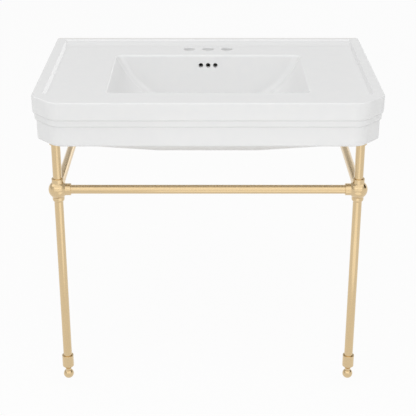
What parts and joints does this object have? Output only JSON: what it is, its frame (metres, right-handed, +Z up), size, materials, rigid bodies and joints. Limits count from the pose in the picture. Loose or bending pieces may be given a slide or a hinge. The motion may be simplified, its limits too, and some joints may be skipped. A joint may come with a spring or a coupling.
{
  "type": "console sink with legs",
  "caption": "Console basin with recessed deck, clipped front corners and rectangular bowl, on a brass stand of front legs, crossbar, side rails to the wall and levelling ball feet.",
  "frame": {"origin": "middle of the whole object's footprint, at floor level; the wall is the plane Y = +0.2795 m", "axes": "+X to the right as seen from the front, +Y back towards the wall, +Z up"},
  "size_m": [0.838, 0.559, 0.778],
  "materials": {
    "glazed_china": "glossy white glaze",
    "satin_brass": "satin, lacquered",
    "rubber": "matt",
    "screw_steel": "plain"
  },
  "bodies": {
    "frame": {"basin": "glazed_china", "crossbar": "satin_brass", "upper_leg_tube_left": "satin_brass", "ball_fitting_left": "satin_brass", "cup_collar_left": "satin_brass", "lower_leg_tube_left": "satin_brass", "foot_sleeve_left": "satin_brass", "side_rail_left": "satin_brass", "wall_flange_left": "satin_brass", "leg_top_plug_left": "satin_brass", "upper_leg_tube_right": "satin_brass", "ball_fitting_right": "satin_brass", "cup_collar_right": "satin_brass", "lower_leg_tube_right": "satin_brass", "foot_sleeve_right": "satin_brass", "side_rail_right": "satin_brass", "wall_flange_right": "satin_brass", "leg_top_plug_right": "satin_brass", "leg_pad_left": "rubber", "leg_pad_right": "rubber", "set_screws": "screw_steel"},
    "left_foot": {"levelling_foot_left": "satin_brass"},
    "right_foot": {"levelling_foot_right": "satin_brass"}
  },
  "joints": [
    {"name": "left_foot_levelling", "type": "slide", "parent": "frame", "child": "left_foot", "axis": [0, 0, -1], "range_m": [0, 0.02]},
    {"name": "right_foot_levelling", "type": "slide", "parent": "frame", "child": "right_foot", "axis": [0, 0, -1], "range_m": [0, 0.02]}
  ]
}
